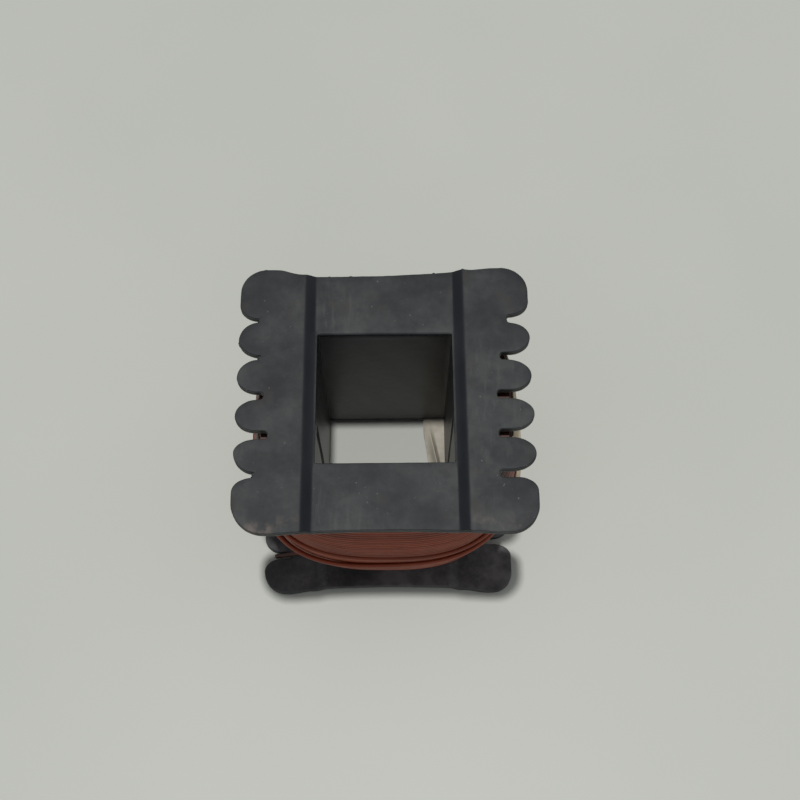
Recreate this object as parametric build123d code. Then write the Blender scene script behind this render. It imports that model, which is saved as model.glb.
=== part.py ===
from build123d import *
import math
import os

# A wound coil former of the kind that a stack of EI laminations slides into:
# one black moulding with two fingered flanges, full of enamelled copper wire.
# Millimetres. Z is the axis of the coil, X runs across the lamination stack,
# Y runs along the channels that the core yokes lie in. The origin is on the
# table, under the middle of the lower flange.

# Core space
bore_width = 21.8        # X, takes the height of the lamination stack
bore_depth = 22.2        # Y, takes the core's middle leg
channel_length = 37.4    # Z, from yoke face to yoke face
core_window = 10.6       # Y, from the bore to where the core's outer leg lies
tube_wall = 1.2
bore_corner = 0.4
bore_rim_round = 0.5     # front and rear edges of the bore's mouths
guide_groove = 0.5       # wide, one down each side wall
guide_groove_deep = 0.4
guide_groove_left_y = -3.9
guide_groove_right_y = -2.4

# Flanges
sheet = 1.4              # thickness of both flanges
wing_step = 1.3          # the wings stand this far outside the channels
channel_margin = 0.35    # flat strip between the bore and the slope
slope_run = 1.55         # width of the slope between channel and wing
bend_round = 0.5
edge_break = 0.25        # along the outer edges of the wings and their fingers
upper_overhang = 1.3     # X, how far the flanges stand past the winding
lower_overhang = 0.4
corner_lap = 0.9         # Y, how far the corner fingers stand past the channel's ends
edge_hollow = 0.25       # depth of the hollow in the channel's end edges
neck_lap = 0.05          # Y, what is left of the lap at the dip beside each channel
neck_from_slope = 0.6

# Fingers
finger_pitch = 6.6
slot_width = 1.1
slots_per_side = 5
finger_length = 9.5      # with its root in the plate
corner_width = 5.1
corner_outer_round = 4.3
corner_inner_round = 1.9
outer_round_share = 0.68     # of a corner finger's end that its outer round may take
inner_round_share = 0.3
slot_end_round = 0.3
# How deep each slot is cut, from the rear: moulding flash shortens some
upper_left_slot_depths = (3.2, 3.3, 4.3, 5.2, 3.1)
upper_right_slot_depths = (3.5, 5.0, 5.7, 5.7, 5.8)
lower_slot_depths = (4.8, 4.8, 4.8, 4.8, 4.8)
lower_left_slot_shift = -2.4   # the lower left slots sit nearer the front

# Winding
wire = 0.85              # over its enamel
winding_clearance = 0.1
winding_build_x = 10.1       # from the tube to the outer layer, at the fullest height
winding_build_y = 8.6
winding_end_drop = 2.0       # how much lower the layers are at the flanges
winding_squareness = 2.8     # 2 is an ellipse, more is squarer
side_arc_ends = 29           # degrees from the middle of a side to its corner arc
groove_between_turns = 0.3
last_turns = (13, 16)        # the wire's last turns, by the ones they lie on, from the bottom
lead_start_in = 7.6          # the wire's end leaves the coil through the front left slot
lead_start_up = 0.6          # above the lowest layer
lead_end_in = 2.0            # from the lower flange's edge
lead_end_z = 0.6

# Adhesive tape
tape_thick = 0.22
tape_gap = 0.08
patch_front_y = -8.5
patch_rear_y = 11.0
patch_above_last_turns = 1.5
patch_below_top = 4.2
patch_sections = 7
strip_width = 4.15
strip_from_slope = 0.15
strip_lap = 3.9              # how far the strip runs past the bore at each end
strip_sag = 0.75

# What follows from them
total_height = channel_length + 2 * wing_step
low_face = wing_step
high_face = wing_step + channel_length
slope_in = bore_width / 2 + channel_margin
slope_out = slope_in + slope_run
neck_x = slope_out + neck_from_slope
tube_width = bore_width + 2 * tube_wall
tube_depth = bore_depth + 2 * tube_wall
channel_depth = bore_depth + 2 * core_window    # Y, between the core's outer legs
neck_reach = channel_depth / 2 + neck_lap
corner_reach = channel_depth / 2 + corner_lap
winding_half_width = tube_width / 2 + winding_build_x
winding_half_depth = tube_depth / 2 + winding_build_y
upper_half_width = winding_half_width + upper_overhang
lower_half_width = winding_half_width + lower_overhang
corner_start_x = lower_half_width - corner_width
finger_width = finger_pitch - slot_width
winding_low = low_face + sheet + winding_clearance
winding_high = high_face - sheet - winding_clearance
winding_mid = (winding_low + winding_high) / 2
turns_per_layer = int((winding_high - winding_low) / wire)
turn_pitch = (winding_high - winding_low) / turns_per_layer
past = 1.0                   # how far a cutting shape runs past what it cuts


def slot_centres(shift):
    first = finger_pitch * (slots_per_side - 1) / 2 + shift
    return [first - finger_pitch * i for i in range(slots_per_side)]


def plate_plan():
    """Middle of a flange, up to where the corner fingers begin."""
    def edge(side):
        end_y = side * channel_depth / 2
        hollow = ThreePointArc(
            (-slope_in, end_y + side * edge_hollow),
            (0, end_y),
            (slope_in, end_y + side * edge_hollow),
        )
        right = Spline(
            (slope_in, end_y + side * edge_hollow),
            (neck_x, side * neck_reach),
            (corner_start_x, side * corner_reach),
            tangents=[(1, 0), (1, 0)],
        )
        return hollow + right + mirror(right, about=Plane.YZ)

    outline = edge(1) + edge(-1)
    for x in (-corner_start_x, corner_start_x):
        outline += Line((x, -corner_reach), (x, corner_reach))
    return make_face(outline)


def corner_finger(half_width, slot_side_y, end_y):
    """Corner finger on the +X side, from its slot to the flange's end."""
    middle = ((corner_start_x + half_width) / 2, (slot_side_y + end_y) / 2)
    finger = Pos(*middle) * Rectangle(half_width - corner_start_x, abs(end_y - slot_side_y))
    slot_corner = finger.vertices().sort_by_distance((half_width, slot_side_y))[0]
    end_length = abs(end_y - slot_side_y)
    finger = fillet(slot_corner, min(corner_inner_round, inner_round_share * end_length))
    outer_corner = finger.vertices().sort_by_distance((half_width, end_y))[0]
    return fillet(outer_corner, min(corner_outer_round, outer_round_share * end_length))


def side_fingers(half_width, slots):
    """Four round-ended fingers and two corner fingers on the +X side, webbed to their rounds."""
    web = half_width - finger_width / 2 - corner_start_x
    middle = (corner_start_x + web / 2, (slots[0] + slots[-1]) / 2)
    fingers = Pos(*middle) * Rectangle(web, slots[0] - slots[-1] + slot_width)
    for rear, front in zip(slots[:-1], slots[1:]):
        middle = (half_width - finger_length / 2, (rear + front) / 2)
        fingers += Pos(*middle) * SlotOverall(finger_length, finger_width)
    fingers += corner_finger(half_width, slots[0] + slot_width / 2, corner_reach)
    fingers += corner_finger(half_width, slots[-1] - slot_width / 2, -corner_reach)
    return fingers


def side_slots(half_width, slots, slot_depths):
    """The cuts between the fingers on the +X side, each to its own depth."""
    cuts = Sketch()
    for y, depth in zip(slots, slot_depths):
        cut = Rectangle(depth + past, slot_width)
        inner_corners = cut.vertices().group_by(Axis.X)[0]
        middle_x = half_width + (past - depth) / 2
        cuts += Pos(middle_x, y) * fillet(inner_corners, slot_end_round)
    return cuts


def flange_plan(half_width, left_shift, left_depths, right_depths):
    """Outline of a flange, seen from above."""
    right_slots = slot_centres(0)
    left_slots = slot_centres(left_shift)
    plan = plate_plan()
    plan += side_fingers(half_width, right_slots)
    plan += mirror(side_fingers(half_width, left_slots), about=Plane.YZ)
    plan -= side_slots(half_width, right_slots, right_depths)
    plan -= mirror(side_slots(half_width, left_slots, left_depths), about=Plane.YZ)
    return plan


def flange_sheet(half_width, face, outward):
    """Bent sheet of a flange: channel in the middle, wings set outward."""
    reach = half_width + past
    outline = [
        (-reach, outward * wing_step),
        (-slope_out, outward * wing_step),
        (-slope_in, 0),
        (slope_in, 0),
        (slope_out, outward * wing_step),
        (reach, outward * wing_step),
    ]
    inner = [(x, z - outward * sheet) for x, z in reversed(outline)]
    section = make_face(Polyline(*outline, *inner, close=True))
    bends = [v for v in section.vertices() if abs(v.X) < half_width]
    section = fillet(bends, bend_round)
    prism = extrude(Plane.XZ * section, amount=corner_reach + past, both=True)
    return Pos(0, 0, face) * prism


def make_flange(half_width, face, outward, left_shift, slot_depths):
    plan = flange_plan(half_width, left_shift, *slot_depths)
    column = Pos(0, 0, -past) * extrude(plan, amount=total_height + 2 * past)
    return flange_sheet(half_width, face, outward) & column


def bore_space():
    """The core's space through the tube, with its two guide grooves."""
    clear = RectangleRounded(bore_width, bore_depth, bore_corner)
    length = total_height + 2 * past
    space = Pos(0, 0, -past) * extrude(clear, amount=length)
    for side, y in ((-1, guide_groove_left_y), (1, guide_groove_right_y)):
        x = side * bore_width / 2
        groove = Box(2 * guide_groove_deep, guide_groove, length)
        space += Pos(x, y, total_height / 2) * groove
    return space


def make_bobbin():
    tube_plan = RectangleRounded(tube_width, tube_depth, tube_wall)
    tube = Pos(0, 0, low_face) * extrude(tube_plan, amount=channel_length)
    upper_depths = (upper_left_slot_depths, upper_right_slot_depths)
    lower_depths = (lower_slot_depths, lower_slot_depths)
    upper = make_flange(upper_half_width, high_face, 1, 0, upper_depths)
    lower = make_flange(lower_half_width, low_face, -1, lower_left_slot_shift, lower_depths)
    bobbin = tube + upper + lower - bore_space()
    mouths = bobbin.edges().filter_by(Axis.X).filter_by(on_bore_rim)
    bobbin = fillet(mouths, bore_rim_round)
    return chamfer(bobbin.edges().filter_by(on_wing_edge), edge_break)


def on_bore_rim(edge):
    """True for the front and rear edges of the bore's two mouths."""
    at = edge.center()
    to_wall = abs(abs(at.Y) - bore_depth / 2)
    to_face = min(abs(at.Z - low_face), abs(at.Z - high_face))
    return max(to_wall, to_face) < bore_rim_round / 10


def on_wing_edge(edge):
    """True for the outer edges of the wings, which lie in the top and bottom planes."""
    box = edge.bounding_box()
    is_level = box.size.Z < edge_break / 10
    is_outer = min(abs(box.min.Z), abs(box.max.Z - total_height)) < edge_break / 10
    return is_level and is_outer and abs(edge.center().X) > slope_out + bend_round


def layer_drop(z):
    """How far the coil's surface lies inside its fullest section."""
    u = abs(z - winding_mid) / (winding_high - winding_mid)
    return winding_end_drop * u**2.4


def coil_section(z, stand_out):
    """Rounded-square outline of the coil at one height: four side arcs, four corner arcs."""
    half_x = winding_half_width - layer_drop(z) + stand_out
    half_y = winding_half_depth - layer_drop(z) + stand_out

    def point(degrees):
        across = math.cos(math.radians(degrees))
        along = math.sin(math.radians(degrees))
        power = winding_squareness
        reach = (abs(across) ** power + abs(along) ** power) ** (-1 / power)
        return (half_x * reach * across, half_y * reach * along, z)

    outline = Curve()
    for middle in (0, 90, 180, 270):
        start = middle - side_arc_ends
        end = middle + side_arc_ends
        next_start = start + 90
        outline += ThreePointArc(point(start), point(middle), point(end))
        outline += ThreePointArc(point(end), point(middle + 45), point(next_start))
    return make_face(outline)


def core_block():
    """The tube with its clearance, taken out of the coil."""
    plan = RectangleRounded(
        tube_width + 2 * winding_clearance,
        tube_depth + 2 * winding_clearance,
        tube_wall + winding_clearance,
    )
    return extrude(plan, amount=total_height)


def make_lead():
    """End of the wire, from the coil down through the lower flange's front left slot."""
    slot_y = slot_centres(lower_left_slot_shift)[-1]
    start = Vector(lead_start_in - winding_half_width, slot_y, winding_low + lead_start_up)
    end = Vector(lead_end_in - lower_half_width, slot_y, lead_end_z)
    along = end - start
    return extrude(Plane(start, z_dir=along) * Circle(wire / 2), amount=along.length)


def make_winding():
    """The whole winding: a ridge for each turn of its outer layer, two of them proud."""
    sections = []
    for half_turn in range(2 * turns_per_layer + 1):
        turn = half_turn // 2
        on_crest = half_turn % 2 == 1
        if not on_crest:
            stand_out = -groove_between_turns
        elif turn in last_turns:
            stand_out = wire
        else:
            stand_out = 0
        sections.append(coil_section(winding_low + turn_pitch * half_turn / 2, stand_out))
    return loft(sections, ruled=True) - core_block() + make_lead()


def make_side_tape():
    """Tape over the right side of the coil, over the end of the wire."""
    low = winding_low + (last_turns[-1] + 1) * turn_pitch + patch_above_last_turns
    high = winding_high - patch_below_top
    step = (high - low) / (patch_sections - 1)
    heights = [low + step * i for i in range(patch_sections)]

    def cover(stand_out):
        return loft([coil_section(z, stand_out) for z in heights], ruled=True)

    sleeve = cover(tape_gap + tape_thick) - cover(tape_gap)
    window = Box(winding_half_width, patch_rear_y - patch_front_y, total_height)
    middle_y = (patch_rear_y + patch_front_y) / 2
    return sleeve & (Pos(winding_half_width, middle_y, total_height / 2) * window)


def make_bottom_tape():
    """Tape stuck under the lower channel, sagging where it crosses the bore."""
    top = low_face - tape_gap
    inside = bore_depth / 2
    half = inside + strip_lap

    def line(z):
        sag = Spline((-inside, z), (0, z - strip_sag), (inside, z), tangents=[(1, 0), (1, 0)])
        return Line((-half, z), (-inside, z)) + sag + Line((inside, z), (half, z))

    ends = Curve()
    for y in (-half, half):
        ends += Line((y, top - tape_thick), (y, top))
    side = make_face(line(top) + line(top - tape_thick) + ends)
    strip = extrude(Plane.YZ * side, amount=strip_width)
    return Pos(slope_in - strip_from_slope - strip_width, 0, 0) * strip


PARTS = {
    "bobbin": make_bobbin,
    "winding": make_winding,
    "side_tape": make_side_tape,
    "bottom_tape": make_bottom_tape,
}

os.makedirs("parts", exist_ok=True)
for name, make in PARTS.items():
    export_step(make(), f"parts/{name}.step")
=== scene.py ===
import math

import bmesh
import bpy
import numpy as np
from mathutils import Matrix, Vector
from mathutils.geometry import delaunay_2d_cdt


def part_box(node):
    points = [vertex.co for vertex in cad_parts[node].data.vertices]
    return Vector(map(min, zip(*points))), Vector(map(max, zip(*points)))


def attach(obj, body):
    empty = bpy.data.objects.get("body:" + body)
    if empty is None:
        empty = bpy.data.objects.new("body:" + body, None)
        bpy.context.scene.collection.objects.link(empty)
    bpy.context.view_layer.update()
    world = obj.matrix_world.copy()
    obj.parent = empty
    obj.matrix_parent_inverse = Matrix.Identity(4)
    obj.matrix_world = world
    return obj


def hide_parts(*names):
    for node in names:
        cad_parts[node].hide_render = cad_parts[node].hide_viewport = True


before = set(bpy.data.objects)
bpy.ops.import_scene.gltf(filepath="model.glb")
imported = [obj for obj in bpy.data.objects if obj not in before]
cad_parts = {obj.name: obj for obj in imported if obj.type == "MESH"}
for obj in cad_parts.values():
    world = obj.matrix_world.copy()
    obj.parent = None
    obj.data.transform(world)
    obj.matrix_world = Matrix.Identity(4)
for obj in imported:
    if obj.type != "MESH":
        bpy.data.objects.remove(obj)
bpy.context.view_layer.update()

# A wound coil former standing on its lower flange. Sizes are in millimetres until
# a mesh is made. X runs across the lamination stack, Y along the yoke channels.

MM = 0.001

# Former
bobbin_low, bobbin_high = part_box("bobbin")
total_height = (bobbin_high.z - bobbin_low.z) / MM
upper_half_width = bobbin_high.x / MM
corner_reach = bobbin_high.y / MM
lower_narrower = 0.9         # on each side
bore_half_x = 10.9
bore_half_y = 11.1
bore_front_in = 0.2          # the front wall stands this much nearer
bore_corner = 0.14
bore_wave = 0.03             # how unevenly the bore's walls stand
tube_wall = 1.2
tube_mouth_round = 0.3       # where the tube meets a flange
sheet = 1.4
wing_step = 1.3
channel_margin = 0.35        # from the bore to the slope
slope_run = 1.55
finger_pitch = 6.6
slots_per_side = 5
lower_left_shift = -2.4      # the lower left slots sit nearer the front
edge_round = 0.22            # outer edges of the flanges
parting_lip = 0.05           # the fine ridge that the mould's parting line leaves
dent = 0.035                 # how unevenly the upper faces lie, in two sets of slanting waves
sink_slant = 0.6
sink_too_slant = 0.4
bend_softness = 0.16         # share of the slope that its bends are eased over
bend_sharp = 0.65            # how much of a straight slope is left in the eased one
top_margin = 0.08            # the uneven faces stay this far from the highest and lowest planes
foot_margin = 0.03
over_foot_margin = 0.06
box_margin = 0.01            # the outline stays this far inside the box

lower_half_width = upper_half_width - lower_narrower
low_face = wing_step
high_face = total_height - wing_step
slope_in = bore_half_x + channel_margin
slope_out = slope_in + slope_run

# Rounds of the bore's mouths
rim_round_side = 0.12
rim_round_front_more = 0.12
rim_round_rear_more = 0.4

# Grooves down the bore's side walls
GROOVES = ((-1, -3.9), (1, -2.4))     # side of the bore, Y
groove_depth = 0.55
groove_half = 1.1
groove_edge = 0.12
groove_inner_point = 0.5
groove_beyond = 0.2          # room left beside a groove for its own points
groove_room = 1.45
groove_top = (0.1, 0.14)     # shares of the way down, where it begins and ends
groove_bottom = (0.95, 0.985)

# End edges of the flanges, by how far they fall short of the corners at growing X
channel_short = 0.85         # at the middle of the channel
channel_hollow = 0.25        # how much further they reach at its sides
shoulder_short = 0.6         # at the outer side of the slope
neck_x = 13.6
corner_rise = (13.8, 17.8)   # where the edge swells out to the corner
skew_fade = (12.0, 17.5)
rear_growth_fade = (11.0, 13.5)
end_edge_x = 17.4            # where the end edges join the corner fingers
end_edge_points = 100

# Corner fingers: X and Y of the round beside their slot, and the rear corner's own
front_corner_shoulder = (3.2, 2.3)
rear_corner_shoulder = (3.4, 2.5)
rear_corner_round = 4.3
slot_end_round = 0.25

# How far the outline wanders inward: slowly along the edge, and finely
wander_slow = 0.05
wander_fine = 0.035

# Slivers of plastic left at the parting line: X, Y and how far they stand out
FLASH = ((19.4, 22.6, 0.3), (-23.5, 9.0, 0.15), (8.2, 22.2, 0.16), (-5.6, 22.0, 0.12),
         (-19.6, 22.6, 0.15), (-9.0, 21.9, 0.1), (12.9, 22.5, 0.14))

# Winding
wire = 0.85
winding_clearance = 0.1
winding_build_x = 10.1       # from the tube to the outer layer, at the fullest height
winding_build_y = 8.6
winding_end_drop = 2.0
winding_end_power = 2.4
winding_squareness = 2.8
turns = 40
steps_per_turn = 150
wire_share = 0.985           # of its radius that a turn of the outer layer keeps beside the next
layer_in = 0.03              # how far the outer layer is pressed in
layer_slow = 0.035           # and how unevenly: slowly along the wire, by turns and quickly
layer_by_turn = 0.02
layer_quick = 0.01
turn_blend = 41              # steps over which one turn's unevenness passes into the next
turn_drift = 0.03            # up and down, as a share of the pitch
turn_drift_lag = 60
core_in = 0.36 * wire        # the body under the outer layer lies this far inside it
core_clear = 0.05            # gap between that body and the tube and flanges
core_columns = 96
core_rows = 26
core_point_spacing = 0.1

winding_low = low_face + sheet + winding_clearance
winding_high = high_face - sheet - winding_clearance
winding_half_x = bore_half_x + tube_wall + winding_build_x
winding_half_y = bore_half_y + tube_wall + winding_build_y

# The last turns, from under the tape: angle from +X in degrees, height, and how far
# the wire's middle stands out of the layer that it lies on
LAST_TURNS = (
    (2, 21.2, 0.4), (-20, 20.4, 0.3), (-45, 19.3, 0.1), (-70, 18.8, 0.02), (-90, 18.7, 0.0),
    (-120, 19.5, 0.02), (-140, 20.3, 0.15), (-180, 21.0, 0.4), (-230, 20.6, 0.4), (-280, 19.6, 0.4),
    (-330, 18.2, 0.4), (-395, 16.6, 0.3), (-425, 15.5, 0.2), (-450, 14.9, 0.28), (-480, 14.9, 0.48),
    (-510, 15.2, 0.55), (-540, 15.0, 0.42), (-600, 15.1, 0.4), (-650, 16.1, 0.4), (-690, 18.0, 0.4),
    (-708, 19.6, 0.4),
)
last_turns_steps = 620

# The wire's end: X, Y from the middle of the lower flange's front left slot, and Z
LEAD = ((-13.4, 0.9, 3.5), (-15.0, 0.35, 3.2), (-16.6, 0.05, 2.6),
        (-18.1, 0.0, 1.95), (-19.4, -0.02, 1.3), (-20.5, 0.0, 0.75))

# Tape over the right side of the coil
side_tape_low = 19.0
side_tape_high = winding_high - 0.7
side_tape_front = math.radians(-22)
side_tape_rear = math.radians(29)
side_tape_thick = 0.16
side_tape_lift = 0.03        # its gap at the least, and how far creases and slack raise it
side_tape_crease = 0.05
side_tape_slack = 0.04
crease_turn = 14             # how far the waves of both run across the tape and up it
crease_rise = 6
slack_turn = 8
slack_rise = 11
side_tape_skew = 0.012       # how unevenly its upright edges run, in radians
side_tape_ragged = 0.25      # and its upper and lower edges
over_wire = 1.02 * wire      # its rise over a strand, which is full up to a distance and then fades
over_wire_flat = 0.3
over_wire_fade = 0.75
side_tape_rows = 70
side_tape_columns = 110
# Stretches of the last turns that pass under it: start and end in degrees, and the whole
# turns to add, in degrees as well
UNDER_TAPE = ((5, -60, 0), (-640, -710, 720))
mm_per_degree = 0.38         # along the coil's side

# Tape under the lower channel
strip_half_length = bore_half_y + 3.8
strip_left = 6.96
strip_right = slope_in - 0.17
strip_left_drift = 0.13      # X per mm of Y, over its front part
strip_drift_from = 9.0
strip_drift_length = 8.0
strip_top = low_face - 0.09
strip_thick = 0.14
strip_sag = 0.76
strip_rows = 90
strip_columns = 40
fold_x = 8.4                 # the fold runs obliquely, through this place
fold_y = 7.4
fold_slope = 0.2
fold_height = 0.66
fold_left = 1.3              # its width to each side
fold_right = 0.8
fold_power = 1.3
strip_edge_wave = 0.05
strip_face_wave = 0.02
ripple_across = 1.5
ripple_along = 0.4

same_place = 1e-9            # points nearer than this are one
merge_distance = 1e-7
wave_spread = 2.4            # how far apart the rates of a sum of waves lie
wall_near = 0.2              # how near to the bore's wall a point counts as on it
point_spacing = 0.32         # along the flanges' outlines
bore_point_spacing = 0.4
tube_point_spacing = 0.9
grid_spacing = 0.95          # between the points of a flange's face
grid_clear = 0.8             # from those points to the rounded edges
grid_reach_x = 23.0
grid_reach_y = 22.3
grid_wobble = 0.07           # keeps the points from lying in exact rows
ROLL_ANGLES = (0, 22, 45, 68, 90)
BEND_IN = (-0.5, -0.25, -0.1, 0.1, 0.3, 0.6)      # columns of points round the bends
BEND_OUT = (-0.6, -0.3, -0.1, 0.1, 0.25, 0.5)
EDGE_ROWS = ((0.3, 0), (0.44, 0), (0.5, 1), (0.56, 0), (0.75, 0))     # share of the way down, lip or not
bore_rows = 34

# Where the looks change, in spans of height, Y and distance from the middle
UPPER_FLANGE = (18.0, 22.0)
SLOPE_START = (slope_in - 0.25, slope_in + 0.12)
SLOPE_END = (slope_out - 0.05, slope_out + 0.4)
# Where the painted highlight on the flanges' upright outer edges begins
SIDE_EDGE_HIGHLIGHT = (15.0, 16.5)
END_EDGE_HIGHLIGHT = (19.5, 20.5)
# Height below which the lower flange is paler: partly dust, partly painted light
SETTLED_DUST_AND_FILL = (3.5, 6.0)
FRONT_RUB = (-22.2, -18.5)
WING_RUB = (11.8, 13.8)
# Painted shade on the wire: darker up near the upper flange and down near the floor
PAINTED_SHADE_ABOVE = (30.5, 34.5)
PAINTED_SHADE_BELOW = (2.2, 4.2)

# Colours
NYLON_DARK = (0.0055, 0.007, 0.0105, 1)
NYLON = (0.0095, 0.011, 0.0145, 1)
# Painted highlight colour for the flanges' upright outer edges
NYLON_EDGE_HIGHLIGHT = (0.034, 0.036, 0.037, 1)
DUST = (0.042, 0.0455, 0.046, 1)
# Paler colour low down: partly dust, partly painted light on the shaded lower flange
DUST_AND_FILL_BELOW = (0.118, 0.114, 0.118, 1)
BROWN_FILM = (0.036, 0.032, 0.027, 1)
SCUFF = (0.082, 0.082, 0.080, 1)
SPECK = (0.15, 0.145, 0.135, 1)
RUBBED = (0.12, 0.098, 0.085, 1)
COPPER_DARK = (0.155, 0.0305, 0.0125, 1)
COPPER = (0.275, 0.0525, 0.0185, 1)
COPPER_STAIN = (0.075, 0.026, 0.019, 1)
# Painted shade colour for the wire near the flanges
COPPER_PAINTED_SHADE = (0.035, 0.019, 0.015, 1)
AGED_TAPE = (0.42, 0.34, 0.235, 1)
AGED_TAPE_DIRT = (0.25, 0.185, 0.12, 1)
CREAM_TAPE = (0.42, 0.385, 0.315, 1)
# Used both for dirt patches and for painted shade on the tape's folds
CREAM_TAPE_DIRT_AND_SHADE = (0.19, 0.168, 0.135, 1)
TAPE_FIBRE = (0.46, 0.42, 0.35, 1)
TABLE = (0.475, 0.492, 0.448, 1)
TABLE_LIGHT = (0.5, 0.515, 0.472, 1)
SKY = (0.97, 0.985, 1.0, 1)
LAMP = (1.0, 0.992, 0.98)

# Room: the lamp's places and its size are in metres
floor_half_width = 1500.0
sky_strength = 0.36
lamp_place = (-0.067, 0.095, 4.0)
lamp_aim = (0, 0, 0.02)
lamp_size = 0.19
lamp_power = 100.0
camera_place = (2.017, -69.631, 204.54)
camera_right = (0.99996138, -0.00870315, -0.00122617)
camera_up = (0.00850446, 0.92289719, 0.38495254)
camera_lens = 51.09


def smooth_step(value, start, end):
    t = np.clip((value - start) / (end - start), 0.0, 1.0)
    return t * t * (3 - 2 * t)


def waves(seed, count, longest):
    """A fixed sum of sines that stands in for hand-made unevenness, about -1 to 1."""
    draw = np.random.default_rng(seed)
    rates = 2 * math.pi / longest * (1 + wave_spread * draw.random(count) * np.arange(1, count + 1))
    phases = draw.random(count) * 2 * math.pi
    weights = 1 / np.arange(1, count + 1)

    def value(s):
        s = np.asarray(s, float)
        total = sum(w * np.sin(r * s + p) for w, r, p in zip(weights, rates, phases))
        return total / weights.sum()

    return value


class Shell:
    """Points and faces of one mesh as it grows, in millimetres."""

    def __init__(self):
        self.points = []
        self.faces = []

    def add(self, points):
        start = len(self.points)
        self.points.extend([tuple(float(c) for c in p) for p in points])
        return list(range(start, len(self.points)))

    def rows(self, rings):
        """Point numbers of rings that are point numbers already or points to add."""
        return [self.add(ring) if isinstance(ring, np.ndarray) else ring for ring in rings]

    def bridge(self, first, second, closed=True):
        """Quads between two rows of points of the same length."""
        count = len(first)
        for i in range(count if closed else count - 1):
            j = (i + 1) % count
            self.faces.append((first[i], first[j], second[j], second[i]))

    def bridge_all(self, rows, closed=True):
        for first, second in zip(rows[:-1], rows[1:]):
            self.bridge(first, second, closed)

    def tube(self, rings):
        """Tube through closed rings, with both of its ends capped."""
        self.bridge_all(rings)
        self.faces.append(tuple(reversed(rings[0])))
        self.faces.append(tuple(rings[-1]))

    def to_object(self, name, material, sharp_degrees=40):
        mesh = bpy.data.meshes.new(name)
        mesh.from_pydata([Vector(p) * MM for p in self.points], [], self.faces)
        work = bmesh.new()
        work.from_mesh(mesh)
        bmesh.ops.recalc_face_normals(work, faces=work.faces)
        work.to_mesh(mesh)
        work.free()
        mesh.polygons.foreach_set("use_smooth", [True] * len(mesh.polygons))
        mesh.set_sharp_from_angle(angle=math.radians(sharp_degrees))
        mesh.materials.append(material)
        piece = bpy.data.objects.new(name, mesh)
        bpy.context.scene.collection.objects.link(piece)
        return piece


def resample(points, spacing):
    """Even steps along a closed outline, and how far along it each one lies."""
    points = np.asarray(points, float)
    closed = np.vstack([points, points[:1]])
    steps = np.hypot(*np.diff(closed, axis=0).T)
    apart = steps > same_place
    closed = closed[np.append(True, apart)]
    along = np.concatenate([[0], np.cumsum(steps[apart])])
    count = int(round(along[-1] / spacing))
    at = np.linspace(0, along[-1], count, endpoint=False)
    return np.column_stack([np.interp(at, along, closed[:, k]) for k in (0, 1)]), at


def left_normals(loop):
    """Unit vectors to the left of a closed loop: inward, where it runs anticlockwise."""
    along = np.roll(loop, -1, axis=0) - np.roll(loop, 1, axis=0)
    along /= np.linalg.norm(along, axis=1)[:, None]
    return np.column_stack([-along[:, 1], along[:, 0]])


def inside(points, loop):
    """Which points lie inside a closed loop."""
    x = points[:, 0][:, None]
    y = points[:, 1][:, None]
    x0, y0 = loop.T
    x1, y1 = np.roll(loop, -1, axis=0).T
    crosses = (y0 > y) != (y1 > y)
    with np.errstate(divide="ignore", invalid="ignore"):
        at = x0 + (y - y0) * (x1 - x0) / (y1 - y0)
    return (np.count_nonzero(crosses & (x < at), axis=1) % 2) == 1


def clear_of(points, loop, distance):
    """Which points lie further than a distance from every point of a loop."""
    gaps = np.hypot(points[:, None, 0] - loop[None, :, 0], points[:, None, 1] - loop[None, :, 1])
    return np.min(gaps, axis=1) > distance


# Flange outlines

def end_edge(x, neck_short, skew):
    """How far a flange's end edge reaches: hollow at the channel, then neck, then corner."""
    across = abs(x)
    if across <= slope_in:
        reach = corner_reach - channel_short + channel_hollow * (across / slope_in) ** 2
    else:
        reach = corner_reach - shoulder_short
        reach += (shoulder_short - neck_short) * smooth_step(across, slope_in, neck_x)
        reach += neck_short * smooth_step(across, *corner_rise)
    lean = skew * x / slope_in * (1 - smooth_step(across, *skew_fade))
    return min(reach + lean, corner_reach)


def quarter(centre, reach_x, reach_y, start, steps=14):
    """Quarter of an ellipse, by its centre, its two reaches and its first angle."""
    angles = np.radians(start + 90 * np.arange(steps + 1) / steps)
    return [(centre[0] + reach_x * math.cos(a), centre[1] + reach_y * math.sin(a)) for a in angles]


def side_outline(side):
    """Right-hand side of a flange, from its front corner to its rear one."""
    slots = side["slots"]
    tips = [side["half_width"] - short for short in side["tips_short"]]
    lean = side["lean"]
    edges = [(y - w / 2, y + w / 2) for y, w in zip(slots, side["widths"])]
    halves = [(rear[0] - front[1]) / 2 for rear, front in zip(edges[:-1], edges[1:])]
    last = len(slots) - 1
    radius = side["corner_round"]
    points = quarter((tips[-1] - radius, -corner_reach + radius), radius, radius, -90)
    for i in range(last, -1, -1):
        y = slots[i]
        w = side["widths"][i]
        end = side["half_width"] - side["depths"][i]
        if i == last:
            back, before = front_corner_shoulder
        else:
            back, before = side["rear_reach"][i], halves[i] * lean[i]
        points += quarter((tips[i + 1] - back, y - w / 2 - before), back, before, 0)
        points += [(end + slot_end_round, y - w / 2), (end, y - w / 4)]
        points += [(end, y + w / 4), (end + slot_end_round, y + w / 2)]
        if i == 0:
            back, after = rear_corner_shoulder
        else:
            back, after = side["front_reach"][i - 1], halves[i - 1] * (2 - lean[i - 1])
        points += quarter((tips[i] - back, y + w / 2 + after), back, after, -90)
    centre = (tips[0] - rear_corner_round, corner_reach - rear_corner_round)
    return points + quarter(centre, rear_corner_round, rear_corner_round, 0)


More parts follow.
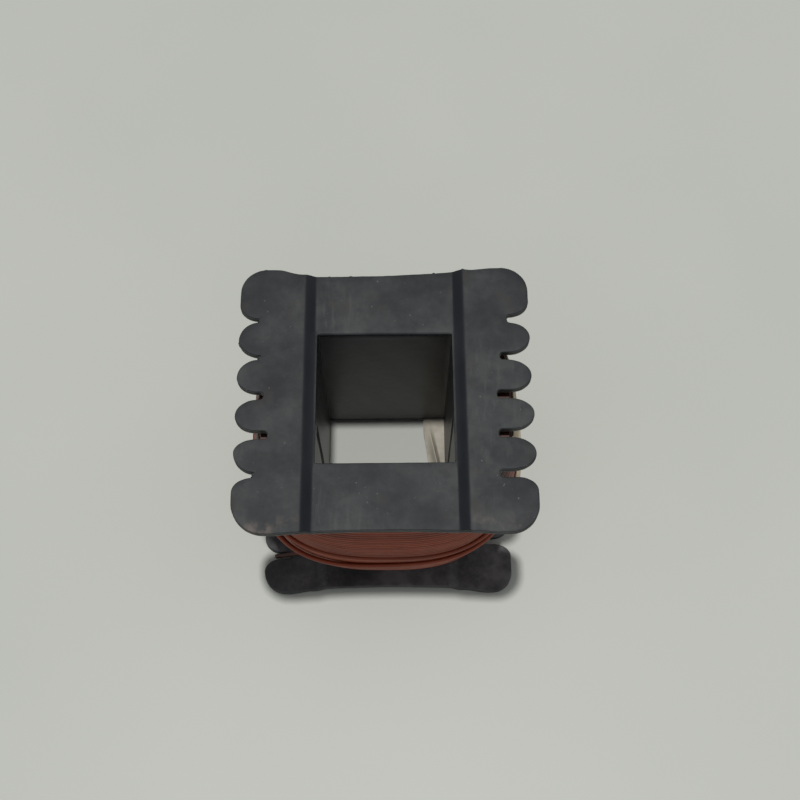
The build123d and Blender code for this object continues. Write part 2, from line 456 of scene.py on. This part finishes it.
def flange_outline(right, left, necks_short, skew, rear_out, seed):
    """Whole outline, anticlockwise from the front edge, with a hand-worn unevenness."""
    xs = np.linspace(-end_edge_x, end_edge_x, end_edge_points)
    front = [(x, -end_edge(x, necks_short[0], skew=0)) for x in xs]
    grown = rear_out * (1 - smooth_step(np.abs(xs), *rear_growth_fade))
    rear = [(x, end_edge(x, necks_short[1], skew) + g) for x, g in zip(xs[::-1], grown[::-1])]
    left_points = [(-x, y) for x, y in side_outline(left)][::-1]
    outline, along = resample(front + side_outline(right) + rear + left_points, point_spacing)
    slow = waves(seed, count=5, longest=34.0)
    fine = waves(seed + 1, count=6, longest=3.4)
    inward = wander_slow * (1 + slow(along)) / 2 + wander_fine * (1 + fine(along)) / 2
    outline = outline + left_normals(outline) * inward[:, None]
    for x, y, length in FLASH:
        nearest = np.argmin(np.hypot(outline[:, 0] - x, outline[:, 1] - y))
        outline[nearest] -= left_normals(outline)[nearest] * length
    limit = np.array([upper_half_width - box_margin, corner_reach - box_margin])
    return np.clip(outline, -limit, limit)


def slot_row(shift):
    """Y of each slot's middle, from the rear."""
    first = finger_pitch * (slots_per_side - 1) / 2
    return [first - finger_pitch * i + shift for i in range(slots_per_side)]


# A flange's side: the slots with their widths and depths, the four fingers between
# them with the reach of their two rounds and their lean to the front, and how far all
# six tips fall short. Everything counts from the rear.

def upper_sides():
    right = {
        "half_width": upper_half_width,
        "slots": slot_row(0.0),
        "widths": (1.3, 1.15, 1.25, 1.25, 1.15),
        "depths": (3.6, 5.0, 5.7, 5.7, 5.8),
        "rear_reach": (3.5, 4.1, 4.1, 4.0),
        "front_reach": (3.5, 3.6, 3.6, 4.0),
        "lean": (1.0, 1.05, 1.0, 1.0),
        "tips_short": (0.0, 0.05, 0.1, 0.0, 0.0, 0.0),
        "corner_round": 4.5,
    }
    left = {
        "half_width": upper_half_width,
        "slots": slot_row(0.0),
        "widths": (0.5, 0.55, 1.15, 1.25, 0.7),
        "depths": (3.2, 3.3, 4.3, 5.2, 3.1),
        "rear_reach": (3.3, 3.5, 3.6, 3.6),
        "front_reach": (3.8, 3.3, 3.2, 3.6),
        "lean": (1.08, 1.08, 1.02, 0.8),
        "tips_short": (0.0, 0.05, 0.0, 0.0, 0.0, 0.0),
        "corner_round": 5.2,
    }
    return right, left


def lower_sides():
    right = {
        "half_width": lower_half_width,
        "slots": slot_row(0.0),
        "widths": (1.1,) * slots_per_side,
        "depths": (4.8,) * slots_per_side,
        "rear_reach": (3.6,) * (slots_per_side - 1),
        "front_reach": (3.3,) * (slots_per_side - 1),
        "lean": (1.0,) * (slots_per_side - 1),
        "tips_short": (0.1, 0.1, 0.05, 0.1, 0.1, 0.0),
        "corner_round": 3.6,
    }
    left = dict(right)
    left["slots"] = slot_row(lower_left_shift)
    left["tips_short"] = (0.1, 0.15, 0.1, 0.1, 0.0, 0.1)
    left["corner_round"] = 4.0
    return right, left


# Former

def rounded_rectangle(half_x, half_y, radius, spacing):
    points = []
    for start, sx, sy in ((-90, 1, -1), (0, 1, 1), (90, -1, 1), (180, -1, -1)):
        centre = (sx * (half_x - radius), sy * (half_y - radius))
        points += quarter(centre, radius, radius, start, steps=6)
    return resample(points, spacing)[0]


def wing_height(x, low, high):
    """Level of a flange's sheet: low in the channel, high on the wings."""
    ramp = (np.abs(x) - slope_in) / (slope_out - slope_in)
    straight = np.clip(ramp, 0, 1)
    eased = smooth_step(ramp, -bend_softness, 1 + bend_softness)
    return low + (high - low) * (bend_sharp * straight + (1 - bend_sharp) * eased)


def face_level(low, high, uneven):
    """Height of a face over X and Y, with shallow dents as plastic sinks when it cools."""
    sink = waves(seed=7, count=4, longest=21.0)
    sink_too = waves(seed=8, count=4, longest=17.0)

    def level(x, y):
        dents = dent * (sink(x + sink_slant * y) + sink_too(y - sink_too_slant * x)) * uneven
        return wing_height(x, low, high) + dents

    return level


def roll_away(loop, sign, radius):
    """Rows of points that round a face off at a loop, each with how far its points drop."""
    normals = left_normals(loop) * sign
    radius = np.broadcast_to(radius, len(loop))
    rings = []
    for angle in np.radians(ROLL_ANGLES):
        offset = radius * (1 - math.cos(angle))
        drop = radius * (1 - math.sin(angle))
        rings.append((loop + normals * offset[:, None], drop))
    return rings


def face_grid(outline, hole):
    """Points of a face between its rounded edges, closer together across the bends."""
    bends = [slope_in + d for d in BEND_IN] + [slope_out + d for d in BEND_OUT]
    even = np.round(np.arange(-grid_reach_x, grid_reach_x, grid_spacing), 3)
    columns = sorted({*even, *bends, *(-c for c in bends)})
    rows = np.arange(-grid_reach_y, grid_reach_y, grid_spacing)
    wobbled = [(x, y + grid_wobble * math.sin(5 * x + i)) for x in columns for i, y in enumerate(rows)]
    grid = np.array(wobbled)
    keep = inside(grid, outline) & ~inside(grid, hole)
    for loop in (outline, hole):
        keep &= clear_of(grid, loop, grid_clear)
    return grid[keep]


def plate(shell, outline, hole, hole_round, level, outward):
    """One face of a flange, rolled away at its outline and at the hole in it.

    Returns the outermost rows of points at the outline and at the hole.
    """
    flat, drops, edges, starts = [], [], [], []
    rolled = roll_away(outline, 1, edge_round) + roll_away(hole, -1, hole_round)
    for ring, drop in rolled:
        start = len(flat)
        starts.append(start)
        flat += [tuple(p) for p in ring]
        drops += list(drop)
        count = len(ring)
        edges += [(start + i, start + (i + 1) % count) for i in range(count)]
    grid = face_grid(outline, hole)
    flat += [tuple(p) for p in grid]
    drops += [0.0] * len(grid)
    mesh = delaunay_2d_cdt([Vector(p) for p in flat], edges, [], 0, merge_distance, True)
    xy = np.array([tuple(v) for v in mesh[0]])
    source = [ids[0] if ids else -1 for ids in mesh[3]]
    drop = np.array([drops[i] if i >= 0 else 0.0 for i in source])
    ids = shell.add(np.column_stack([xy, level(xy[:, 0], xy[:, 1]) - outward * drop]))
    triangles = [f for f in mesh[2] if len(f) == 3]
    centres = np.array([xy[list(f)].mean(axis=0) for f in triangles])
    wanted = inside(centres, outline) & ~inside(centres, hole)
    shell.faces += [tuple(ids[i] for i in f) for f, use in zip(triangles, wanted) if use]
    place = {s: ids[i] for i, s in enumerate(source) if s >= 0}
    outer_row = [place[starts[0] + i] for i in range(len(outline))]
    hole_row = [place[starts[len(ROLL_ANGLES)] + i] for i in range(len(hole))]
    return outer_row, hole_row


def edge_wall(shell, outline, outer_row, inner_row):
    """Edge of the sheet between its two faces, with the parting line's fine lip."""
    top = np.array([shell.points[i] for i in outer_row])
    bottom = np.array([shell.points[i] for i in inner_row])
    out = -left_normals(outline)
    rings = []
    for t, lip in EDGE_ROWS:
        ring = top * (1 - t) + bottom * t
        ring[:, :2] += out * parting_lip * (lip - 1)
        rings.append(ring)
    shell.bridge_all(shell.rows([outer_row, *rings, inner_row]))


def groove_cut(loop, t):
    """How deep the grooves are at each point of the bore's outline, a share of the way down."""
    ends = smooth_step(t, *groove_top) * (1 - smooth_step(t, *groove_bottom))
    depth = np.zeros(len(loop))
    for side, y in GROOVES:
        on_wall = np.abs(loop[:, 0] - side * bore_half_x) < wall_near
        near = np.clip((groove_half - np.abs(loop[:, 1] - y)) / groove_edge, 0, 1)
        depth += groove_depth * near * on_wall * ends
    return depth


def bore_wall(shell, loop, top_row, bottom_row):
    """Wall of the bore between its two mouths, with a groove down each side wall."""
    top = np.array([shell.points[i] for i in top_row])
    bottom = np.array([shell.points[i] for i in bottom_row])
    away = -left_normals(loop)
    bow = waves(seed=31, count=4, longest=26.0)
    rings = []
    for t in np.arange(1, bore_rows) / bore_rows:
        ring = top * (1 - t) + bottom * t
        depth = groove_cut(loop, t)
        depth += bore_wave * (1 + bow(0.5 * ring[:, 2] + loop[:, 0] + 2 * loop[:, 1]))
        ring[:, :2] += away * depth[:, None]
        rings.append(ring)
    shell.bridge_all(shell.rows([top_row, *rings, bottom_row]))


def bore_loop():
    """Outline of the bore, with its own points at each groove."""
    loop = rounded_rectangle(bore_half_x, bore_half_y - bore_front_in / 2, bore_corner, bore_point_spacing)
    loop[:, 1] += bore_front_in / 2
    half = (groove_inner_point, groove_half - groove_edge, groove_half - groove_edge / 2,
            groove_half, groove_half + groove_beyond)
    offsets = [-d for d in half[::-1]] + [0] + list(half)
    for side, y in GROOVES:
        extra = [(side * bore_half_x, y + side * d) for d in offsets]
        on_wall = np.abs(loop[:, 0] - side * bore_half_x) < wall_near
        near = on_wall & (np.abs(loop[:, 1] - y) < groove_room)
        first = int(np.argmax(near))
        loop = np.vstack([loop[~near][:first], extra, loop[~near][first:]])
    return loop


def make_bobbin(material):
    shell = Shell()
    bore = bore_loop()
    half_x = bore_half_x + tube_wall
    half_y = bore_half_y + tube_wall
    tube = rounded_rectangle(half_x, half_y, tube_wall, tube_point_spacing)
    facing = left_normals(bore)[:, 1]
    rim = rim_round_side + rim_round_front_more * np.clip(facing, 0, 1)
    rim += rim_round_rear_more * np.clip(-facing, 0, 1)
    upper = flange_outline(*upper_sides(), necks_short=(0.2, 0.55), skew=0.35, rear_out=0.25, seed=11)
    lower = flange_outline(*lower_sides(), necks_short=(0.5, 0.7), skew=0.0, rear_out=0.0, seed=23)
    top = total_height - top_margin
    over = face_level(high_face, top, uneven=1)
    under = face_level(high_face - sheet, top - sheet, uneven=0)
    lower_over = face_level(low_face + sheet, over_foot_margin + sheet, uneven=0)
    lower_under = face_level(low_face, foot_margin, uneven=0.3)
    upper_row, bore_top = plate(shell, upper, bore, rim, over, outward=1)
    under_row, tube_top = plate(shell, upper, tube, tube_mouth_round, under, outward=-1)
    over_row, tube_bottom = plate(shell, lower, tube, tube_mouth_round, lower_over, outward=1)
    lower_row, bore_bottom = plate(shell, lower, bore, rim, lower_under, outward=-1)
    edge_wall(shell, upper, upper_row, under_row)
    edge_wall(shell, lower, over_row, lower_row)
    bore_wall(shell, bore, bore_top, bore_bottom)
    shell.bridge(tube_top, tube_bottom)
    return shell.to_object("former", material)


# Winding

def layer_drop(z):
    """How far the coil's surface lies inside its fullest section."""
    middle = (winding_low + winding_high) / 2
    u = np.abs(np.asarray(z, float) - middle) / (winding_high - middle)
    return winding_end_drop * u**winding_end_power


def coil_point(angle, z, stand_out):
    """Points on the coil's rounded-square outline, and the way out of it."""
    half_x = winding_half_x - layer_drop(z) + stand_out
    half_y = winding_half_y - layer_drop(z) + stand_out
    across = np.cos(angle)
    along = np.sin(angle)
    power = winding_squareness
    reach = (np.abs(across) ** power + np.abs(along) ** power) ** (-1 / power)
    x = half_x * reach * across
    y = half_y * reach * along
    out_x = np.sign(across) * np.abs(x / half_x) ** (power - 1) / half_x
    out_y = np.sign(along) * np.abs(y / half_y) ** (power - 1) / half_y
    size = np.hypot(out_x, out_y)
    return x, y, out_x / size, out_y / size


def coil_tube(shell, angles, z, stand_out, radius, sides):
    """Round wire laid along the coil, its middle at stand_out from the layer's surface."""
    x, y, out_x, out_y = coil_point(angles, z, stand_out)
    rings = []
    for i in range(len(angles)):
        ring = []
        for k in range(sides):
            a = 2 * math.pi * k / sides
            out = radius * math.cos(a)
            up = radius * math.sin(a)
            ring.append((x[i] + out * out_x[i], y[i] + out * out_y[i], z[i] + up))
        rings.append(shell.add(ring))
    shell.tube(rings)


def loose_tube(shell, points, radius, sides=10):
    """Round wire along a few points in space."""
    points = [Vector(p) for p in points]
    normal = Vector((0, 0, 1))
    rings = []
    for i, point in enumerate(points):
        ahead = points[min(i + 1, len(points) - 1)]
        behind = points[max(i - 1, 0)]
        along = (ahead - behind).normalized()
        normal = (normal - along * normal.dot(along)).normalized()
        side = along.cross(normal)
        ring = []
        for k in range(sides):
            a = 2 * math.pi * k / sides
            ring.append(point + (normal * math.cos(a) + side * math.sin(a)) * radius)
        rings.append(shell.add(ring))
    shell.tube(rings)


def last_turns():
    """Angles, heights and stand-outs along a smooth curve through the last turns' places."""
    keys = np.array(LAST_TURNS, float)
    at = keys[:, 0]
    t = np.linspace(at[0], at[-1], last_turns_steps)
    i = np.clip(np.searchsorted(-at, -t, side="right") - 1, 0, len(at) - 2)
    h = at[i + 1] - at[i]
    u = (t - at[i]) / h
    curves = []
    for value in (keys[:, 1], keys[:, 2]):
        slope = np.gradient(value, at)
        start = (1 + 2 * u) * (1 - u) ** 2 * value[i] + u * (1 - u) ** 2 * h * slope[i]
        end = u * u * (3 - 2 * u) * value[i + 1] + u * u * (u - 1) * h * slope[i + 1]
        curves.append(start + end)
    return np.radians(t), curves[0], curves[1]


def lay_outer_layer(shell):
    """All turns of the outer layer as one long wire, pressed a little unevenly."""
    pitch = (winding_high - winding_low) / turns
    steps = np.arange(turns * steps_per_turn - steps_per_turn // 2)
    angles = 2 * math.pi * steps / steps_per_turn
    z = winding_low + wire / 2 + (winding_high - winding_low - wire) * steps / steps[-1]
    slow = waves(seed=3, count=5, longest=900.0)
    quick = waves(seed=4, count=6, longest=130.0)
    draw = np.random.default_rng(9)
    by_turn = np.repeat(draw.uniform(-1, 1, turns + 1), steps_per_turn)[: len(steps)]
    soft = np.convolve(by_turn, np.ones(turn_blend) / turn_blend, mode="same")
    stand = -wire / 2 - layer_in + layer_slow * slow(steps) + layer_by_turn * soft
    stand += layer_quick * quick(steps)
    z = z + turn_drift * np.roll(soft, turn_drift_lag) * pitch
    coil_tube(shell, angles, z, stand, wire / 2 * wire_share, sides=8)


def lay_core(shell):
    """Closed body inside the outer layer, round the tube."""
    around = 2 * math.pi * np.arange(core_columns) / core_columns
    rings = []
    for level in np.linspace(winding_low + core_clear, winding_high - core_clear, core_rows):
        x, y, _, _ = coil_point(around, level, -core_in)
        rings.append(shell.add(np.column_stack([x, y, np.full(core_columns, level)])))
    half_x = bore_half_x + tube_wall + core_clear
    half_y = bore_half_y + tube_wall + core_clear
    tube = rounded_rectangle(half_x, half_y, tube_wall, core_point_spacing)
    bearing = np.mod(np.arctan2(tube[:, 1], tube[:, 0]), 2 * math.pi)
    order = np.argsort(bearing)
    nearest = order[np.searchsorted(bearing[order], around) % len(order)]
    for level in (winding_high - core_clear, winding_low + core_clear):
        rings.append(shell.add(np.column_stack([tube[nearest], np.full(core_columns, level)])))
    shell.bridge_all(rings + rings[:1])


def make_winding(material):
    shell = Shell()
    lay_outer_layer(shell)
    lay_core(shell)
    coil_tube(shell, *last_turns(), radius=wire / 2, sides=12)
    slot_y = slot_row(lower_left_shift)[-1]
    loose_tube(shell, [(x, slot_y + y, z) for x, y, z in LEAD], wire / 2)
    return shell.to_object("wound_wire", material, sharp_degrees=60)


# Adhesive tape

def sheet_between(shell, outer, inner):
    """Closed thin sheet from two grids of points."""
    def rim(rows):
        left = [row[0] for row in rows[1:-1]]
        right = [row[-1] for row in rows[1:-1]]
        return rows[0] + right + rows[-1][::-1] + left[::-1]

    top = [shell.add(row) for row in outer]
    bottom = [shell.add(row) for row in inner]
    shell.bridge_all(top, closed=False)
    shell.bridge_all(bottom, closed=False)
    shell.bridge(rim(top), rim(bottom))


def strands_under_tape():
    """Angles in degrees and heights of the stretches of wire that pass under the side tape."""
    angles, heights, _ = last_turns()
    degrees = np.degrees(angles)
    strands = []
    for start, end, turned in UNDER_TAPE:
        near = (degrees <= start) & (degrees >= end)
        strands.append((degrees[near] + turned, heights[near]))
    return strands


def make_side_tape(material):
    """Tape over the right side of the coil, raised where the wire passes under it."""
    crease = waves(seed=51, count=6, longest=9.0)
    sag = waves(seed=52, count=4, longest=14.0)
    strands = strands_under_tape()
    span = side_tape_rear - side_tape_front
    outer = np.zeros((side_tape_rows, side_tape_columns, 3))
    inner = np.zeros_like(outer)
    for i in range(side_tape_rows):
        t = i / (side_tape_rows - 1)
        for j in range(side_tape_columns):
            u = j / (side_tape_columns - 1)
            angle = side_tape_front + span * u + side_tape_skew * sag(20 * t) * (2 * u - 1)
            z = side_tape_low + (side_tape_high - side_tape_low) * t
            z += side_tape_ragged * sag(9 * u + 3) * (t - 0.5)
            lift = side_tape_lift + side_tape_crease * abs(crease(crease_turn * u + crease_rise * t))
            lift += side_tape_slack * (1 + sag(slack_rise * t + slack_turn * u))
            for degrees, heights in strands:
                beside = (degrees - math.degrees(angle)) * mm_per_degree
                away = np.hypot(beside, heights - z).min()
                fade = max(away - over_wire_flat, 0) / over_wire_fade
                lift = max(lift, over_wire * math.exp(-fade**2))
            for grid, extra in ((outer, side_tape_thick), (inner, 0.0)):
                x, y, _, _ = coil_point(angle, z, lift + extra)
                grid[i, j] = (x, y, z)
    shell = Shell()
    sheet_between(shell, outer, inner)
    return shell.to_object("coil_tape", material, sharp_degrees=50)


def make_bottom_tape(material):
    """Creased tape under the lower channel, seen through the bore."""
    ripple = waves(seed=61, count=4, longest=13.0)
    outer = np.zeros((strip_rows, strip_columns, 3))
    for i in range(strip_rows):
        y = strip_half_length - 2 * strip_half_length * i / (strip_rows - 1)
        in_bore = float(np.clip(1 - (y / bore_half_y) ** 2, 0, 1))
        drift = strip_left_drift * float(np.clip(strip_drift_from - y, 0, strip_drift_length))
        left = strip_left + drift + strip_edge_wave * ripple(y)
        fold_at = fold_x + fold_slope * (fold_y - y)
        for j in range(strip_columns):
            x = left + (strip_right - left) * j / (strip_columns - 1)
            off = x - fold_at
            fold = max(0.0, 1 - abs(off) / (fold_left if off < 0 else fold_right)) ** fold_power
            wave = strip_face_wave * ripple(ripple_across * x + ripple_along * y)
            drop = strip_sag - fold_height * fold + wave
            outer[i, j] = (x, y, strip_top - in_bore * drop)
    shell = Shell()
    sheet_between(shell, outer, outer - (0, 0, strip_thick))
    return shell.to_object("channel_tape", material, sharp_degrees=50)


# Materials. Noise scales count per metre, and the depths of bumps are in metres.

class Nodes:
    """Short way to write a material's nodes."""

    def __init__(self, name):
        self.material = bpy.data.materials.new(name)
        self.material.use_nodes = True
        self.tree = self.material.node_tree
        self.shader = self.tree.nodes["Principled BSDF"]

    def add(self, kind, inputs=None, **settings):
        node = self.tree.nodes.new(kind)
        for key, value in settings.items():
            setattr(node, key, value)
        for key, value in (inputs or {}).items():
            self.plug(node, key, value)
        return node

    def plug(self, node, key, value):
        if isinstance(value, bpy.types.NodeSocket):
            self.tree.links.new(value, node.inputs[key])
        else:
            node.inputs[key].default_value = value

    def finish(self, **inputs):
        """Plugs the shader's own sockets, named with underscores for their spaces."""
        for key, value in inputs.items():
            self.plug(self.shader, key.replace("_", " "), value)
        return self.material

    def split(self, output):
        """X, Y and Z of the surface's position or normal."""
        vector = self.add("ShaderNodeNewGeometry").outputs[output]
        return self.add("ShaderNodeSeparateXYZ", {0: vector}).outputs

    def noise(self, scale, detail=4.0, stretch=(1, 1, 1), rough=0.55):
        place = self.add("ShaderNodeNewGeometry").outputs["Position"]
        scaled = self.add("ShaderNodeVectorMath", {0: place, 1: stretch}, operation="MULTIPLY")
        values = {"Vector": scaled.outputs[0], "Scale": scale, "Detail": detail, "Roughness": rough}
        return self.add("ShaderNodeTexNoise", values).outputs["Fac"]

    def remap(self, value, low, high, to_low=0.0, to_high=1.0):
        inputs = {"Value": value, "From Min": low, "From Max": high, "To Min": to_low, "To Max": to_high}
        return self.add("ShaderNodeMapRange", inputs, interpolation_type="SMOOTHSTEP").outputs["Result"]

    def span(self, place, ends, to_low=0.0, to_high=1.0):
        """Remaps a place on the object over a span in millimetres."""
        return self.remap(place, ends[0] * MM, ends[1] * MM, to_low, to_high)

    def math(self, operation, a, b=0.0):
        return self.add("ShaderNodeMath", {0: a, 1: b}, operation=operation).outputs[0]

    def times(self, product, *factors):
        for factor in factors:
            product = self.math("MULTIPLY", product, factor)
        return product

    def mix(self, factor, a, b):
        node = self.add("ShaderNodeMix", data_type="RGBA")
        self.plug(node, 0, factor)
        self.plug(node, 6, a)
        self.plug(node, 7, b)
        return node.outputs[2]

    def bump(self, height, distance, strength=1.0, below=None):
        inputs = {"Height": height, "Distance": distance, "Strength": strength}
        if below is not None:
            inputs["Normal"] = below
        return self.add("ShaderNodeBump", inputs).outputs["Normal"]


def slope_mask(n, across, on_upper):
    """Where the upper flange slopes between its channel and its wings, which get none of the dust, wear
    and edge colours and so stay darker.
    """
    return n.times(n.span(across, SLOPE_START), n.span(across, SLOPE_END, 1.0, 0.0), on_upper)


def bare_nylon(n, across, place, level, off_slope):
    """The plastic itself, in two near blacks, with a painted highlight on the flanges' upright outer
    edges.
    """
    patch = n.remap(n.noise(75, 3), 0.36, 0.66)
    plain = n.mix(patch, NYLON_DARK, NYLON)
    along = n.math("ABSOLUTE", place["Y"])
    # Painted highlight on the upright outer edges of the flanges
    edge_highlight = n.math("MAXIMUM", n.span(across, SIDE_EDGE_HIGHLIGHT), n.span(along, END_EDGE_HIGHLIGHT))
    with_highlight = n.mix(n.times(edge_highlight, off_slope), plain, NYLON_EDGE_HIGHLIGHT)
    return n.mix(level, with_highlight, plain)


def add_dust(n, below, place, level, cloud):
    """Grey dust in clouds on the level faces, paler low down on the lower flange: partly settled dust and
    partly painted light that lifts the shaded flange.
    """
    broad = n.remap(n.noise(62, 5, rough=0.72), 0.34, 0.68, 0.4, 1.2)
    amount = n.times(level, broad, n.remap(cloud, 0.32, 0.68, 0.3, 1.08))
    # Paler low down: partly settled dust, partly painted light that lifts the shaded lower flange
    settled_and_fill = n.span(place["Z"], SETTLED_DUST_AND_FILL, 1.0, 0.0)
    return n.mix(amount, below, n.mix(settled_and_fill, DUST, DUST_AND_FILL_BELOW))


def add_wear(n, below, level):
    """Brown film, streaky scuffs along Y, and pale specks."""
    film = n.times(n.remap(n.noise(210, 4), 0.56, 0.74), level, 0.55)
    streak = n.remap(n.noise(1100, 3, (1.0, 0.16, 1.0)), 0.5, 0.7)
    scuff = n.times(streak, level, n.remap(n.noise(60, 3), 0.46, 0.62), 0.3)
    speck = n.times(n.remap(n.noise(1300, 2), 0.71, 0.76), level, 0.55)
    filmed = n.mix(film, below, BROWN_FILM)
    return n.mix(speck, n.mix(scuff, filmed, SCUFF), SPECK)


def add_corner_rub(n, below, across, place, level, on_upper):
    """Pale brown rubbing on the wings along the upper flange's front edge."""
    at_front = n.span(place["Y"], FRONT_RUB, 1.0, 0.0)
    on_wing = n.span(across, WING_RUB)
    patches = n.remap(n.noise(380, 5), 0.45, 0.68)
    return n.mix(n.times(at_front, on_wing, level, patches, on_upper), below, RUBBED)


def former_material():
    """Black moulded nylon: dust and scuffs on what faces up, cleaner and darker walls, a painted highlight
    on the upright outer edges, and a paler lower flange that is partly dust and partly painted light.
    """
    n = Nodes("black_nylon")
    up = n.split("Normal")["Z"]
    place = n.split("Position")
    across = n.math("ABSOLUTE", place["X"])
    on_upper = n.span(place["Z"], UPPER_FLANGE)
    off_slope = n.math("SUBTRACT", 1.0, slope_mask(n, across, on_upper))
    level = n.times(n.remap(up, 0.35, 0.8), off_slope)
    cloud = n.noise(170, 6, rough=0.65)
    colour = bare_nylon(n, across, place, level, off_slope)
    colour = add_dust(n, colour, place, level, cloud)
    colour = add_wear(n, colour, level)
    colour = add_corner_rub(n, colour, across, place, level, on_upper)
    dullness = n.math("ADD", n.remap(up, 0.1, 0.6), n.times(cloud, 0.3))
    grain = n.bump(n.noise(2600, 3), 0.00002, 0.6)
    return n.finish(
        Base_Color=colour,
        Roughness=n.remap(dullness, 0.0, 1.2, 0.38, 0.62),
        IOR=1.4,
        Normal=n.bump(n.noise(420, 4), 0.00006, 0.6, grain),
    )


def wire_material():
    """Enamelled copper: orange-brown, satin, a little uneven from turn to turn, with painted shade near
    both flanges.
    """
    n = Nodes("enamelled_copper")
    by_turn = n.noise(1, 2, (14, 14, 1150))
    along = n.noise(60, 4, (1, 1, 2.2))
    light = n.math("ADD", n.times(by_turn, 0.55), n.times(along, 0.45))
    copper = n.mix(n.remap(light, 0.35, 0.65), COPPER_DARK, COPPER)
    stain = n.times(n.remap(n.noise(240, 4), 0.6, 0.78), 0.35)
    stained = n.mix(stain, copper, COPPER_STAIN)
    # Painted shade: the wire darkens towards the upper flange, where it shows through the slots, and
    # towards the floor, where the lead lies under the flanges
    height = n.split("Position")["Z"]
    shade_by_top = n.span(height, PAINTED_SHADE_ABOVE, 0.0, 0.85)
    shade_by_bottom = n.span(height, PAINTED_SHADE_BELOW, 0.9, 0.0)
    return n.finish(
        Base_Color=n.mix(n.math("MAXIMUM", shade_by_top, shade_by_bottom), stained, COPPER_PAINTED_SHADE),
        Roughness=n.remap(n.noise(500, 3), 0.3, 0.7, 0.34, 0.5),
        Metallic=0.35,
        Coat_Weight=0.12,
        Coat_Roughness=0.25,
        Normal=n.bump(n.noise(1800, 3), 0.000012, 0.5),
    )


def tape_material(name, pale, dirt_and_shade_colour, flank_shade):
    """Adhesive tape with a faint weave, dirt in its patches, and painted shade on the faces of its folds
    that tilt away from up.
    """
    n = Nodes(name)
    # Painted shade: faces that tilt away from up are darkened
    painted_flank_shade = n.times(n.remap(n.split("Normal")["Z"], 0.82, 0.985, 1.0, 0.0), flank_shade)
    dirt_and_shade = n.math("MAXIMUM", painted_flank_shade, n.remap(n.noise(300, 5), 0.42, 0.72, 0.0, 0.6))
    fibre = n.times(n.remap(n.noise(2600, 2, (1, 0.12, 1)), 0.4, 0.65), 0.18)
    fine = n.bump(n.noise(3200, 2, (1, 0.15, 1)), 0.00002, 0.5)
    return n.finish(
        Base_Color=n.mix(fibre, n.mix(dirt_and_shade, pale, dirt_and_shade_colour), TAPE_FIBRE),
        Roughness=n.remap(n.noise(700, 3), 0.3, 0.7, 0.5, 0.72),
        Normal=n.bump(n.noise(520, 4), 0.00009, 0.6, fine),
    )


def floor_material():
    """Pale table with hardly any cloud in it."""
    n = Nodes("pale_table")
    cloud = n.remap(n.noise(9, 3), 0.3, 0.7)
    return n.finish(Base_Color=n.mix(cloud, TABLE, TABLE_LIGHT), Roughness=0.55)


# Room

def make_floor(material):
    half = floor_half_width
    shell = Shell()
    corners = shell.add([(-half, -half, 0), (half, -half, 0), (half, half, 0), (-half, half, 0)])
    shell.faces.append(tuple(corners))
    shell.to_object("floor", material)


def set_up_light():
    """Even light from all round, and one lamp far overhead, a little left and to the rear."""
    world = bpy.data.worlds.new("room")
    world.use_nodes = True
    background = world.node_tree.nodes["Background"]
    background.inputs["Color"].default_value = SKY
    background.inputs["Strength"].default_value = sky_strength
    bpy.context.scene.world = world
    light = bpy.data.lights.new("ceiling", "AREA")
    light.shape = "DISK"
    light.size = lamp_size
    light.energy = lamp_power
    light.color = LAMP
    lamp = bpy.data.objects.new("ceiling", light)
    lamp.location = lamp_place
    aim = Vector(lamp_aim) - lamp.location
    lamp.rotation_euler = aim.to_track_quat("-Z", "Y").to_euler()
    bpy.context.scene.collection.objects.link(lamp)


def set_up_camera():
    """The camera looks down from above and a little in front, 23 degrees off the vertical."""
    right = Vector(camera_right)
    up = Vector(camera_up)
    back = right.cross(up)
    camera = bpy.data.cameras.new("camera")
    camera.sensor_width = 36.0
    camera.lens = camera_lens
    camera.clip_start = 0.01
    camera.clip_end = 20.0
    holder = bpy.data.objects.new("camera", camera)
    turn = Matrix((right, up, back)).transposed().to_4x4()
    holder.matrix_world = Matrix.Translation(Vector(camera_place) * MM) @ turn
    bpy.context.scene.collection.objects.link(holder)
    bpy.context.scene.camera = holder


def main():
    aged = tape_material("aged_tape", AGED_TAPE, AGED_TAPE_DIRT, flank_shade=0.0)
    # The cream tape gets painted shade on its tilted flanks
    cream = tape_material("cream_tape", CREAM_TAPE, CREAM_TAPE_DIRT_AND_SHADE, flank_shade=0.9)
    pieces = (
        (make_bobbin(former_material()), "bobbin", "former"),
        (make_winding(wire_material()), "winding", "wire"),
        (make_side_tape(aged), "side_tape", "tape"),
        (make_bottom_tape(cream), "bottom_tape", "tape"),
    )
    for piece, node, slot in pieces:
        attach(piece, "root")
        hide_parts(node)
    make_floor(floor_material())
    set_up_light()
    set_up_camera()
    bpy.context.scene.view_settings.view_transform = "Standard"


main()
